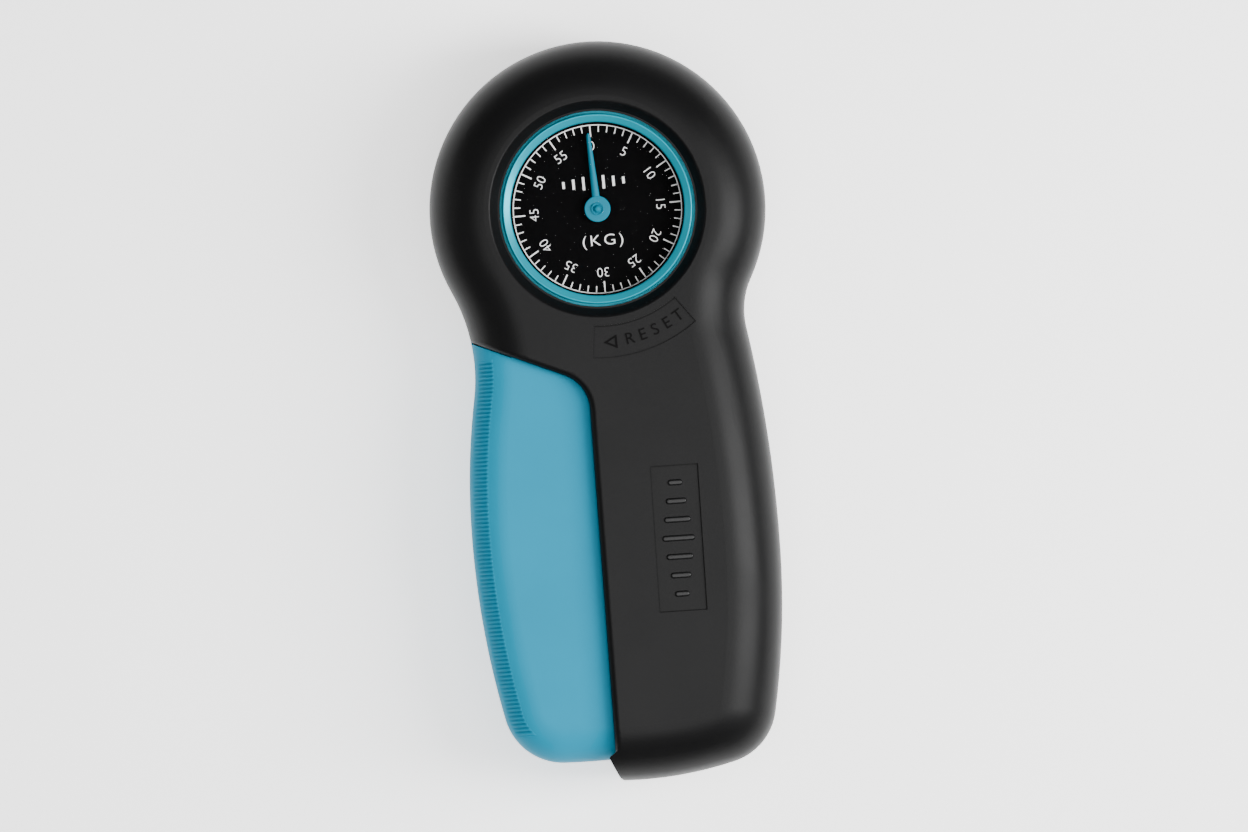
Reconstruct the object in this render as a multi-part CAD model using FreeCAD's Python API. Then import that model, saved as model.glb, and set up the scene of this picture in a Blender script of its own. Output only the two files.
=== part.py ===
"""Mechanical hand dynamometer with a round dial, written for FreeCAD, in millimetres.

The instrument lies on its back: +Z out of the dial, +Y from the grip to the head, +X to the palm side.
The origin is on the dial's axis, in the plane of the back.  Squeezing the handle turns it about the pivot
pin in the head, against two coil springs.  Its arm carries a pin that swings a sector gear, and the sector
turns the pinion on the pointer's arbor.  The bezel turns by itself, and a peg under its lens brings the
pointer to zero.
"""

import FreeCAD, Part
import math
import os

Vec = FreeCAD.Vector
UP = Vec(0, 0, 1)
CLOSE = 1e-4                          # points nearer than this are the same
OFF_BODY = 40.0                       # reach that is well clear of the body

# ---- driving dimensions ----
THICKNESS = 34.0           # whole body, back to front
PARTING = THICKNESS / 2    # where the two shells meet
WALL = 2.2                 # black shells
SHOULDER = 11.0            # radius that rounds the body's front and back edges

HEAD_R = 33.6              # round head, about the dial's axis
PALM_X, PALM_Y = 32.0, -70.0          # widest point of the palm side
PALM_R_HIGH, PALM_R_LOW = 260.0, 170.0
FINGER_X, FINGER_Y = -29.4, -62.0     # widest point of the finger side
FINGER_R_HIGH, FINGER_R_LOW = 147.0, 175.0
WAIST_R_PALM, WAIST_R_FINGER = 15.0, 35.0   # hollow curves between head and grip
CORNER_R = 12.0            # bottom corners
BODY_BASE_Y, BODY_BASE_X, BODY_BASE_R = -114.3, 1.0, 75.0      # bottom edge of the black body
HANDLE_BASE_Y, HANDLE_BASE_X, HANDLE_BASE_R = -110.0, -9.0, 150.0

OPENING_LEFT = Vec(-27.3, -24.9)      # where the opening's upper edge meets the finger side
OPENING_SLOPE = 23.0                  # degrees that this edge falls towards the palm
OPENING_X = -4.2                      # the opening's long edge, at its upper end
OPENING_LEAN = 0.5                    # degrees that the long edge leans towards the palm on its way down
OPENING_R = 7.6                       # corner between the two edges
OPENING_EDGE_R = 1.3                  # rounding of the shell along the opening
LIP_NOSE = Vec(-4.9, -109.3)          # tip of the body's lip below the handle
LIP_RISE = 1.0                        # height over which the lip comes forward
LIP_FALL = Vec(1, -2.2)               # direction of the lip's edge below its tip
LIP_ROUNDING = 0.45                   # how far from the tip its rounding starts
LIP_CORNER_ROUNDING = 1.2             # the same where that edge meets the base
PARTING_GROOVE = 0.25                 # depth and width of the line where the mouldings meet

HANDLE_THICKNESS = 27.6
HANDLE_SHOULDER = 7.5
HANDLE_WALL = 2.0
HANDLE_GAP = 0.15                     # between the opening's upper edge and the handle
HANDLE_TUCK = 1.5                     # how far the handle's end reaches under that edge
HANDLE_TUCK_INSET = 7.6               # and how far in from the finger side it does so
TONGUE_LOW_Z, TONGUE_HIGH_Z = 13.0, 21.0     # where it does so right out to the finger side
TONGUE_ROOM = 0.15                    # clearance of that tongue in the shell's notch
HANDLE_HIDDEN_X = 3.0                 # how far the handle reaches under the shells
RIB_STRIP_WIDTH = 3.8                 # as seen from the front
RIB_STRIP_DEPTH = 1.0
RIB_STRIP_TOP, RIB_STRIP_END = -28.6, -104.0

PIVOT = Vec(-18.0, -20.0)
PIN_R = 2.0
RUNNING = 0.03                        # radial clearance of a shaft in its hole
SQUEEZE_DEG = 5.8                     # full travel of the handle

GEAR_MODULE = 0.3
PINION_TEETH, SECTOR_TEETH_FULL = 12, 132
GEAR_SHIFT = 0.3                      # profile shift, plus on the pinion and minus on the sector
GEAR_BACKLASH = 0.05
SECTOR_CENTRE = Vec(0, -GEAR_MODULE * (PINION_TEETH + SECTOR_TEETH_FULL) / 2)
ARM_TO_SLOT = 5.5                     # handle's arm over the sector's tail, with both in line
SECTOR_ARBOR_R = 1.3
DRIVE_PIN_R = 0.8
SLOT_CLEARANCE = 0.06

RECESS_TOP_R, RECESS_LOW_R, RECESS_DEPTH = 21.5, 19.9, 1.9
RECESS_EDGE_R = 0.5                   # rounding where the recess meets the face
DIAL_BORE_R = 19.5
COLLAR_R = 24.0
COLLAR_Z = 29.9                       # underside of the collar round the dial
BEZEL_R, BEZEL_INNER_R = 19.0, 17.3   # as seen from the front
BEZEL_FLANGE_R = 21.4
BEZEL_LOW_Z, BEZEL_FLANGE_Z, BEZEL_TOP_Z = 28.7, 29.7, 32.3
BEZEL_FALL = 0.68                     # how far the rim's top slopes down towards the lens
BEZEL_RUNNING = 0.06                  # radial clearance of the flange in the collar's skirt
SKIRT_R = 23.2
DIAL_R, DIAL_HOLE_R, DIAL_Z, DIAL_THICK = 18.9, 1.6, 26.0, 0.6

# levels of the movement
REAR_PLATE_Z, FRONT_PLATE_Z, PLATE_THICK = 11.0, 22.0, 1.0
CARRIER_TOP_Z = 28.6
ARM_Z, ARM_THICK = 15.5, 3.0
SECTOR_Z, SECTOR_THICK = 19.3, 1.0
POINTER_Z, POINTER_THICK, POINTER_REACH = 27.5, 0.6, 14.8
POINTER_HUB_R, POINTER_ROOT_HALF, POINTER_TIP_R = 2.6, 1.0, 0.42
ARBOR_R = 1.1                         # shaft of the pointer, and the holes pressed on it
LENS_Z, LENS_THICK, LENS_R = 29.6, 1.25, 18.15
SPRING_YS = (-56.0, -84.0)
SPRING_WIRE, SPRING_R, SPRING_TURNS = 2.6, 6.4, 4.5
SEAT_HANDLE_X, SEAT_BODY_X = 5.0, 26.6
SEAT_R, SEAT_CORE_R, SEAT_THICK = 7.6, 4.4, 1.8
STOP_FACE_X, STOP_Y = 10.2, -96.0      # rubber pad that ends the handle's travel
STOP_PAD = 2.0
POINTER_REST_DEG = 93.5
PEG_LAG_DEG = 5.5                     # angle from the pointer to the peg behind it
PEG_R = 0.45

SCREW_PLACES = [Vec(-22.1, 15.5), Vec(22.1, 15.5), Vec(21.5, -23.5), Vec(23.4, -42.5),
                Vec(22.4, -70.0), Vec(17.5, -103.0)]
GRIP_SCREW_PLACES = [Vec(-16.0, -44.0), Vec(-16.5, -70.0), Vec(-14.5, -96.0)]
CARRIER_EAR_ANGLES = (80, 170, 260, 350)
CARRIER_EAR_R = 25.2
MOVEMENT_SCREW_PLACES = [Vec(-10.5, 9.8), Vec(10.5, 9.8), Vec(0, -14.3)]
PILLAR_PLACES = [Vec(-11.5, 3.0), Vec(11.5, 3.0), Vec(10.0, -25.5), Vec(-11.5, -13.0)]

LABEL_CENTRE, LABEL_SIZE, LABEL_DEPTH = Vec(11.8, -66.5), (9.6, 29.2), 0.5
RESET_R_INNER, RESET_R_OUTER, RESET_FROM, RESET_TO = 23.3, 29.8, -95.6, -52.5


# bosses and holes of the shells
FRONT_BOSS_R, SHELL_PILOT_R, SHELL_PILOT_END_Z = 3.2, 1.5, 27.0
REAR_BOSS_R, REAR_BOSS_FOOT_R, SHELL_CLEAR_R = 3.4, 4.3, 1.6
COUNTERBORE_R, COUNTERBORE_Z = 2.9, 5.0
PIN_LOW_Z, PIN_HIGH_Z = 2.8, 31.2
FRONT_PIVOT_BOSS_R, FRONT_PIVOT_BOSS_Z = 3.8, 25.2
REAR_PIVOT_BOSS_R, REAR_PIVOT_BOSS_Z = 4.2, 13.2
EAR_BOSS_R, EAR_PILOT_R, EAR_PILOT_END_Z = 2.2, 1.05, 32.2
STOP_POST = (2.4, 6.0, 20.0)


# lever, its hinge and the springs' seats
EYE_R, BUSH_R, ARM_TIP_R = 4.4, 2.9, 2.4
ARBOR_WINDOW_R, ARBOR_WINDOW_ROOM = 4.6, 0.45
LIGHTENING_R, LIGHTENING_X, LIGHTENING_YS = 4.0, -9.5, (-57.0, -83.5)
GRIP_FRONT_BOSS_R, GRIP_PILOT_R = 3.0, 1.3
GRIP_REAR_BOSS_R, GRIP_HEAD_BORE_R, GRIP_CLEAR_R, GRIP_HEAD_BORE_Z = 3.6, 2.6, 1.4, 7.0
SEAT_CORE_LENGTH = 3.5
CUP_BLOCK, CUP_NOTCH = Vec(5.0, 12.0, 8.0), Vec(3.85, 14.0, 3.0)
SEAT_BLOCK_WIDE = 15.0

# movement
PIVOT_HOLE_R, SECTOR_HOLE_R, PILLAR_R, PILLAR_END_R = 0.8, 0.9, 1.8, 0.98
PLATE_CORNER_R = 2.6
MOVEMENT_SCREW_R = 1.1
CARRIER_R, CARRIER_HOLE_R, CARRIER_EAR_END_R, CARRIER_EAR_Z = 22.3, 8.0, 2.4, 26.2
WHEEL_TEETH, WHEEL_TIP_R, WHEEL_ROOT_R = 30, 4.6, 4.1
WHEEL_Z, WHEEL_TOP_Z = 16.4, 17.2
SPIRAL_Z, SPIRAL_HEIGHT = 13.4, 0.9


# ---- small helpers ----
def polar(radius, degrees, centre=Vec(0, 0)):
    """A point at a distance and an angle from a centre."""
    a = math.radians(degrees)
    return Vec(centre.x + radius * math.cos(a), centre.y + radius * math.sin(a))


def at(point, z):
    return Vec(point.x, point.y, z)


def disc(point, radius, z0, z1):
    """An upright cylinder."""
    return Part.makeCylinder(radius, z1 - z0, at(point, z0))


def tube(point, outer, inner, z0, z1):
    return disc(point, outer, z0, z1).cut(disc(point, inner, z0, z1))


def prism(points, z0, z1):
    """A straight-sided prism on a polygon."""
    closed = [at(p, z0) for p in points]
    return Part.Face(Part.makePolygon(closed + closed[:1])).extrude(UP * (z1 - z0))


def turned(profile, centre=Vec(0, 0)):
    """A ring turned about an upright axis, from (radius, z) points."""
    points = [Vec(centre.x + r, centre.y, z) for r, z in profile]
    face = Part.Face(Part.makePolygon(points + points[:1]))
    return face.revolve(at(centre, 0), UP, 360)


def lying(y, radius, x0, x1, z=PARTING):
    """A cylinder along X at a height y on the grip."""
    return Part.makeCylinder(radius, x1 - x0, Vec(x0, y, z), Vec(1, 0, 0))


def joined(shapes):
    whole = shapes[0].multiFuse(shapes[1:]) if len(shapes) > 1 else shapes[0]
    return whole.removeSplitter()


# ---- outline of the body and the handle: arcs that meet in tangents ----
def touching(first, d1, second, d2, side):
    """The point at d1 from the first centre and d2 from the second, on one side of their line."""
    line = second - first
    length = line.Length
    along = (d1 * d1 - d2 * d2 + length * length) / (2 * length)
    across = math.sqrt(d1 * d1 - along * along)
    line.normalize()
    return first + line * along + Vec(-line.y, line.x) * (across * side)


def outline_circles(base_x, base_y, base_r):
    """The outline's circles, anticlockwise from the head: centre, radius, and +1 bulging or -1 hollow."""
    head = Vec(0, 0)
    finger_high = Vec(FINGER_X + FINGER_R_HIGH, FINGER_Y)
    finger_low = Vec(FINGER_X + FINGER_R_LOW, FINGER_Y)
    palm_high = Vec(PALM_X - PALM_R_HIGH, PALM_Y)
    palm_low = Vec(PALM_X - PALM_R_LOW, PALM_Y)
    base = Vec(base_x, base_y + base_r)
    waist_finger = touching(head, HEAD_R + WAIST_R_FINGER, finger_high, FINGER_R_HIGH + WAIST_R_FINGER, -1)
    waist_palm = touching(head, HEAD_R + WAIST_R_PALM, palm_high, PALM_R_HIGH + WAIST_R_PALM, 1)
    corner_finger = touching(finger_low, FINGER_R_LOW - CORNER_R, base, base_r - CORNER_R, 1)
    corner_palm = touching(palm_low, PALM_R_LOW - CORNER_R, base, base_r - CORNER_R, -1)
    return [
        (head, HEAD_R, 1),
        (waist_finger, WAIST_R_FINGER, -1),
        (finger_high, FINGER_R_HIGH, 1),
        (finger_low, FINGER_R_LOW, 1),
        (corner_finger, CORNER_R, 1),
        (base, base_r, 1),
        (corner_palm, CORNER_R, 1),
        (palm_low, PALM_R_LOW, 1),
        (palm_high, PALM_R_HIGH, 1),
        (waist_palm, WAIST_R_PALM, -1),
    ]


def meeting(one, two):
    """Where two circles that touch meet, and the outline's outward direction there."""
    (c1, r1, s1), (c2, r2, s2) = one, two
    away = c2 - c1
    if s1 == s2 and r1 < r2:
        away = away * -1
    away.normalize()
    return c1 + away * r1


def outline_wire(circles, inset, z):
    """The closed outline at height z, moved inwards: bulging arcs shrink and hollow ones grow."""
    count = len(circles)
    moved = [(c, r - s * inset, s) for c, r, s in circles]
    corners = [meeting(moved[i], moved[(i + 1) % count]) for i in range(count)]
    edges = []
    for i, (centre, radius, sense) in enumerate(moved):
        start, end = corners[i - 1], corners[i]
        a0 = math.atan2(start.y - centre.y, start.x - centre.x)
        a1 = math.atan2(end.y - centre.y, end.x - centre.x)
        turn = (a1 - a0) * sense % (2 * math.pi) * sense
        middle = polar(radius, math.degrees(a0 + turn / 2), centre)
        edges.append(Part.Arc(at(start, z), at(middle, z), at(end, z)).toShape())
    return Part.Wire(edges)


def pebble(circles, inset, z0, z1, shoulder):
    """A solid on the outline, with its front and back edges rounded to the shoulder radius."""
    block = Part.Face(outline_wire(circles, inset, z0)).extrude(UP * (z1 - z0))
    rims = [e for e in block.Edges if abs(e.BoundBox.ZLength) < 1e-6]
    return block.makeFillet(shoulder, rims)


def opening_path():
    """The opening's edge on the body: the sloping line, the corner's arc and the long line to the lip."""
    along = polar(1, -OPENING_SLOPE)
    down = polar(1, OPENING_LEAN - 90)
    meet = OPENING_LEFT + along * ((OPENING_X - OPENING_LEFT.x) / along.x)
    turn = math.radians(90 - OPENING_LEAN - OPENING_SLOPE)
    cut_back = OPENING_R * math.tan(turn / 2)
    before, after = meet - along * cut_back, meet + down * cut_back
    centre = before + polar(OPENING_R, -OPENING_SLOPE - 90)
    middle = centre + (meet - centre).normalize() * OPENING_R
    waist = meet + down * ((meet.y - LIP_NOSE.y - LIP_RISE) / -down.y)
    sloping = Part.makeLine(OPENING_LEFT - along * OFF_BODY, before)
    return [sloping, Part.Arc(before, middle, after).toShape(), Part.makeLine(after, waist)]


def leaving(start, way, centre, radius):
    """Where a line from a point inside a circle, in a direction of length 1, leaves the circle."""
    reach = start - centre
    along = reach.dot(way)
    return start + way * (math.sqrt(along * along - reach.dot(reach) + radius * radius) - along)


def eased(corner, before, after):
    """An arc that rounds a corner, from one point on its sides to another."""
    return Part.Arc(before, (before + after + corner * 2) * 0.25, after).toShape()


def opening_region(path):
    """The area left of the black shells, that the handle fills, as a face at z = 0."""
    start, waist = path[0].Vertexes[0].Point, path[-1].Vertexes[-1].Point
    fall = Vec(LIP_FALL).normalize()
    high = LIP_NOSE + (waist - LIP_NOSE).normalize() * LIP_ROUNDING
    under = LIP_NOSE + fall * LIP_ROUNDING
    corner = leaving(LIP_NOSE, fall, Vec(BODY_BASE_X, BODY_BASE_Y + BODY_BASE_R), BODY_BASE_R)
    above = corner - fall * LIP_CORNER_ROUNDING
    beside = corner + Vec(LIP_CORNER_ROUNDING, -PARTING_GROOVE / 2)
    corners = [beside, beside - Vec(0, OFF_BODY), Vec(start.x, beside.y - OFF_BODY), start]
    rest = [Part.makeLine(a, b) for a, b in zip(corners, corners[1:])]
    lip = [Part.makeLine(waist, high), eased(LIP_NOSE, high, under), Part.makeLine(under, above),
           eased(corner, above, beside)]
    return Part.Face(Part.Wire(path + lip + rest))


# ---- black housing ----
BODY_CIRCLES = outline_circles(BODY_BASE_X, BODY_BASE_Y, BODY_BASE_R)
HANDLE_CIRCLES = outline_circles(HANDLE_BASE_X, HANDLE_BASE_Y, HANDLE_BASE_R)


def half_space(z0, z1):
    return Part.makeBox(200, 200, z1 - z0, Vec(-100, -150, z0))


def parting_line(circles):
    """A square groove round an outline, at the level where the front and rear mouldings meet."""
    low, high = PARTING - PARTING_GROOVE / 2, PARTING + PARTING_GROOVE / 2
    inside = Part.Face(outline_wire(circles, PARTING_GROOVE, low)).extrude(UP * PARTING_GROOVE)
    return half_space(low, high).cut(inside)


def tongue_notch():
    """The notch in the finger side's wall, along the opening's upper edge, for the handle's tongue."""
    corners = handle_region(-HANDLE_TUCK - TONGUE_ROOM, PIVOT.x)
    return prism(corners, TONGUE_LOW_Z - TONGUE_ROOM, TONGUE_HIGH_Z + TONGUE_ROOM)


def shell_blank():
    """The hollow black body in one piece, with the opening for the handle cut and its edge rounded."""
    path = opening_path()
    solid = pebble(BODY_CIRCLES, 0, 0, THICKNESS, SHOULDER)
    solid = solid.cut(opening_region(path).extrude(UP * THICKNESS))
    rims = []
    for e in solid.Edges:
        middle = e.valueAt((e.FirstParameter + e.LastParameter) / 2)
        below = Part.Vertex(at(middle, 0))
        on_path = min(below.distToShape(p)[0] for p in path) < CLOSE
        if on_path and e.BoundBox.ZLength < CLOSE and min(middle.z, THICKNESS - middle.z) < CLOSE:
            rims.append(e)
    rounded = solid.makeFillet(OPENING_EDGE_R, rims)
    cavity = pebble(BODY_CIRCLES, WALL, WALL, THICKNESS - WALL, SHOULDER - WALL)
    hollow = rounded.cut(cavity).cut(tongue_notch())
    return hollow.cut(parting_line(BODY_CIRCLES)), rounded


def reset_plate_region():
    """The curved panel beside the dial: part of a ring, between two radii and two angles."""
    band = tube(Vec(0, 0), RESET_R_OUTER, RESET_R_INNER, THICKNESS - LABEL_DEPTH, THICKNESS + 1)
    corners = [Vec(0, 0)]
    steps = 4
    for i in range(steps + 1):
        corners.append(polar(RESET_R_OUTER * 1.5, RESET_FROM + (RESET_TO - RESET_FROM) * i / steps))
    return band.common(prism(corners, THICKNESS - LABEL_DEPTH, THICKNESS + 1))


def label_region():
    """The long panel on the grip, sunk a little below the face, without its raised bars."""
    width, length = LABEL_SIZE
    low = LABEL_CENTRE - Vec(width / 2, length / 2)
    return Part.makeBox(width, length, LABEL_DEPTH + 1, at(low, THICKNESS - LABEL_DEPTH))


def carrier_ears():
    return [polar(CARRIER_EAR_R, a) for a in CARRIER_EAR_ANGLES]


def is_ring(edge, radius, z):
    """Whether an edge is a circle, or part of one, about the dial's axis at a height z."""
    flat = edge.BoundBox.ZLength < CLOSE and abs(edge.BoundBox.ZMin - z) < CLOSE
    round_edge = isinstance(edge.Curve, Part.Circle) and abs(edge.Curve.Radius - radius) < CLOSE
    return flat and round_edge and math.hypot(edge.Curve.Center.x, edge.Curve.Center.y) < CLOSE


def make_front_shell(blank, solid):
    """Front half, with the dial's recess and collar, screw pilots, pivot boss and the two sunk panels."""
    shell = blank.common(half_space(PARTING, THICKNESS + 1))
    adds = [disc(Vec(0, 0), COLLAR_R, COLLAR_Z, THICKNESS - 1)]
    adds.append(tube(Vec(0, 0), SKIRT_R, BEZEL_FLANGE_R + BEZEL_RUNNING, BEZEL_LOW_Z, COLLAR_Z + 0.1))
    adds += [disc(p, FRONT_BOSS_R, PARTING, THICKNESS - 1) for p in SCREW_PLACES]
    adds.append(disc(PIVOT, FRONT_PIVOT_BOSS_R, FRONT_PIVOT_BOSS_Z, THICKNESS - 1))
    adds += [disc(p, EAR_BOSS_R, CARRIER_TOP_Z, THICKNESS - 1) for p in carrier_ears()]
    shell = joined([shell] + [a.common(solid) for a in adds])
    recess = turned([(0, THICKNESS - RECESS_DEPTH), (RECESS_LOW_R, THICKNESS - RECESS_DEPTH),
                     (RECESS_TOP_R, THICKNESS), (RECESS_TOP_R, THICKNESS + 1), (0, THICKNESS + 1)])
    shell = shell.cut(recess)
    rim = [e for e in shell.Edges if is_ring(e, RECESS_TOP_R, THICKNESS)]
    shell = shell.makeFillet(RECESS_EDGE_R, rim)
    cuts = [disc(Vec(0, 0), DIAL_BORE_R, COLLAR_Z - 1, THICKNESS)]
    cuts += [disc(p, SHELL_PILOT_R, PARTING, SHELL_PILOT_END_Z) for p in SCREW_PLACES]
    cuts.append(disc(PIVOT, PIN_R, FRONT_PIVOT_BOSS_Z - 0.2, PIN_HIGH_Z))
    cuts += [disc(p, EAR_PILOT_R, CARRIER_TOP_Z - 1, EAR_PILOT_END_Z) for p in carrier_ears()]
    cuts += [label_region(), reset_plate_region()]
    for c in cuts:
        shell = shell.cut(c)
    return shell


def make_rear_shell(blank, solid):
    """Back half, with counterbored screw bosses, the pivot boss and the post behind the stop pad."""
    shell = blank.common(half_space(-1, PARTING))
    adds = [disc(p, REAR_BOSS_R, 1, PARTING) for p in SCREW_PLACES]
    adds += [disc(p, REAR_BOSS_FOOT_R, 1, COUNTERBORE_Z + 1.4) for p in SCREW_PLACES]
    adds.append(disc(PIVOT, REAR_PIVOT_BOSS_R, 1, REAR_PIVOT_BOSS_Z))
    thick, wide, tall = STOP_POST
    adds.append(Part.makeBox(thick, wide, tall, Vec(STOP_FACE_X + STOP_PAD, STOP_Y - wide / 2, 1)))
    shell = joined([shell] + [a.common(solid) for a in adds])
    for p in SCREW_PLACES:
        bore = disc(p, COUNTERBORE_R, -1, COUNTERBORE_Z).fuse(disc(p, SHELL_CLEAR_R, 0, PARTING))
        shell = shell.cut(bore)
    return shell.cut(disc(PIVOT, PIN_R, PIN_LOW_Z, PARTING))


def screw(point, head_z, tip_z, head_r, shank_r, head_height):
    """A pan-head screw driven in from the back, with a cross recess in its head."""
    head = disc(point, head_r, head_z, head_z + head_height)
    rim = [e for e in head.Edges if abs(e.BoundBox.ZMin - head_z) < 1e-6 and e.BoundBox.ZLength < 1e-6]
    head = head.makeFillet(head_height * 0.45, rim)
    body = head.fuse(disc(point, shank_r, head_z + head_height, tip_z))
    long_side, short_side, depth = head_r * 1.1, head_r * 0.24, head_height * 0.55
    for width, height in ((long_side, short_side), (short_side, long_side)):
        corner = Vec(point.x - width / 2, point.y - height / 2, head_z)
        body = body.cut(Part.makeBox(width, height, depth, corner))
    return body.removeSplitter()


def make_shell_screws():
    head_z, tip_z = COUNTERBORE_Z - 2.4, SHELL_PILOT_END_Z - 1.5
    return Part.makeCompound([screw(p, head_z, tip_z, 2.6, 1.42, 2.4) for p in SCREW_PLACES])


# ---- handle ----
HANDLE_Z0 = PARTING - HANDLE_THICKNESS / 2
HANDLE_Z1 = PARTING + HANDLE_THICKNESS / 2


def handle_region(gap, right):
    """The area below the opening's upper edge, at a gap from it, and left of a line."""
    slope = math.radians(OPENING_SLOPE)
    along = Vec(math.cos(slope), -math.sin(slope))
    start = OPENING_LEFT + Vec(-math.sin(slope), -math.cos(slope)) * gap
    corner = start + along * ((right - start.x) / along.x)
    return [start - along * 20, corner, Vec(right, -130), Vec(-50, -130)]


def handle_blanks():
    """The handle's outer form, and the space inside its walls, which is open towards the palm."""
    whole = pebble(HANDLE_CIRCLES, 0, HANDLE_Z0, HANDLE_Z1, HANDLE_SHOULDER)
    tuck = Part.Face(outline_wire(HANDLE_CIRCLES, HANDLE_TUCK_INSET, 0)).extrude(UP * THICKNESS)
    tuck = tuck.common(prism(handle_region(-HANDLE_TUCK, HANDLE_HIDDEN_X), 0, THICKNESS))
    tongue = prism(handle_region(-HANDLE_TUCK, HANDLE_HIDDEN_X), TONGUE_LOW_Z, TONGUE_HIGH_Z)
    reach = prism(handle_region(HANDLE_GAP, HANDLE_HIDDEN_X), 0, THICKNESS).fuse(tuck).fuse(tongue)
    inner = pebble(HANDLE_CIRCLES, HANDLE_WALL, HANDLE_Z0 + HANDLE_WALL, HANDLE_Z1 - HANDLE_WALL,
                   HANDLE_SHOULDER - HANDLE_WALL)
    inner = inner.common(prism(handle_region(HANDLE_GAP + HANDLE_WALL, 20), 0, THICKNESS))
    return whole.common(reach).cut(parting_line(HANDLE_CIRCLES)), inner


def rib_strip_band(depth):
    """The skin of the handle's finger side, depth thick, within the strip's width and length."""
    outer = pebble(HANDLE_CIRCLES, 0, HANDLE_Z0, HANDLE_Z1, HANDLE_SHOULDER)
    core = pebble(HANDLE_CIRCLES, depth, HANDLE_Z0 + depth, HANDLE_Z1 - depth, HANDLE_SHOULDER - depth)
    kept = Part.Face(outline_wire(HANDLE_CIRCLES, RIB_STRIP_WIDTH, 0)).extrude(UP * THICKNESS)
    window = Part.makeBox(40, RIB_STRIP_TOP - RIB_STRIP_END, THICKNESS, Vec(-50, RIB_STRIP_END, 0))
    return outer.cut(core).cut(kept).common(window)


def make_grip_covers(strip):
    """The two blue covers of the handle, with screw bosses that clamp the steel lever between them."""
    outer, inner = handle_blanks()
    hollow = outer.cut(inner).cut(strip)
    front = hollow.common(half_space(PARTING, THICKNESS))
    rear = hollow.common(half_space(0, PARTING))
    top = ARM_Z + ARM_THICK
    for p in GRIP_SCREW_PLACES:
        front = front.fuse(disc(p, GRIP_FRONT_BOSS_R, top, HANDLE_Z1 - 1))
        front = front.cut(disc(p, GRIP_PILOT_R, top - 1, HANDLE_Z1 - 3))
        rear = rear.fuse(disc(p, GRIP_REAR_BOSS_R, HANDLE_Z0 + 1, ARM_Z))
        rear = rear.cut(disc(p, GRIP_HEAD_BORE_R, 0, GRIP_HEAD_BORE_Z)).cut(disc(p, GRIP_CLEAR_R, 0, ARM_Z))
    neck = Part.makeBox(26, 20, ARM_THICK + 0.6, Vec(-23.4, -40, ARM_Z - 0.3))
    return front.cut(neck).removeSplitter(), rear.cut(neck).removeSplitter()


def make_lever_frame(drive_point):
    """Steel plate in the handle: a blade, an eye on the pivot pin and an arm out to the drive pin."""
    low, top = ARM_Z, ARM_Z + ARM_THICK
    blade = [Vec(-21.5, -38.5), Vec(-5.0, -38.5), Vec(2.2, -46.0), Vec(2.2, -97.5),
             Vec(-12, -101.5), Vec(-19.5, -99.5), Vec(-23.5, -80.0), Vec(-24.2, -60.0)]
    neck = [PIVOT + Vec(-EYE_R, 0), PIVOT + Vec(EYE_R, 0), Vec(-10.5, -39.5), Vec(-21.0, -39.5)]
    reach = drive_point - PIVOT
    centre_deg = math.degrees(math.atan2(reach.y, reach.x))
    side = polar(1, centre_deg + 90)
    arm = [PIVOT + side * EYE_R, drive_point + side * ARM_TIP_R, drive_point - side * ARM_TIP_R,
           PIVOT - side * EYE_R]
    passing_r = (SECTOR_CENTRE - PIVOT).Length
    frame = joined([prism(blade, low, top), prism(neck, low, top), prism(arm, low, top),
                    disc(PIVOT, EYE_R, low, top), disc(drive_point, ARM_TIP_R, low, top),
                    disc(polar(passing_r, centre_deg, PIVOT), ARBOR_WINDOW_R, low, top)])
    frame = frame.cut(disc(PIVOT, BUSH_R, 0, THICKNESS)).cut(disc(drive_point, DRIVE_PIN_R, 0, THICKNESS))
    for step in range(5):
        window = polar(passing_r, centre_deg + SQUEEZE_DEG * (0.5 - step / 4), PIVOT)
        frame = frame.cut(disc(window, SECTOR_ARBOR_R + ARBOR_WINDOW_ROOM, 0, THICKNESS))
    for p in GRIP_SCREW_PLACES:
        frame = frame.cut(disc(p, GRIP_CLEAR_R + 0.1, 0, THICKNESS))
    for y in LIGHTENING_YS:
        frame = frame.cut(disc(Vec(LIGHTENING_X, y), LIGHTENING_R, 0, THICKNESS))
    return frame


def make_grip_screws():
    return Part.makeCompound([screw(p, 4.9, 26.5, 2.3, 1.22, 2.1) for p in GRIP_SCREW_PLACES])


def make_pivot_bush():
    """Flanged bronze bush in the lever's eye: it runs on the pivot pin."""
    flange_r, flange_z = 4.0, ARM_Z - 1.4
    profile = [(PIN_R + RUNNING, flange_z), (flange_r, flange_z), (flange_r, ARM_Z), (BUSH_R, ARM_Z),
               (BUSH_R, ARM_Z + ARM_THICK), (PIN_R + RUNNING, ARM_Z + ARM_THICK)]
    return turned(profile, PIVOT)


def make_pivot_washers():
    rear = tube(PIVOT, 3.8, PIN_R + RUNNING, 13.25, 14.05)
    front = tube(PIVOT, 3.6, PIN_R + RUNNING, ARM_Z + ARM_THICK + 0.1, ARM_Z + ARM_THICK + 0.7)
    return Part.makeCompound([rear, front])


def make_pivot_spacer():
    """Steel sleeve on the pin between the lever and the front shell's boss."""
    return tube(PIVOT, 3.2, PIN_R + RUNNING, ARM_Z + ARM_THICK + 0.75, 25.15)


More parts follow.
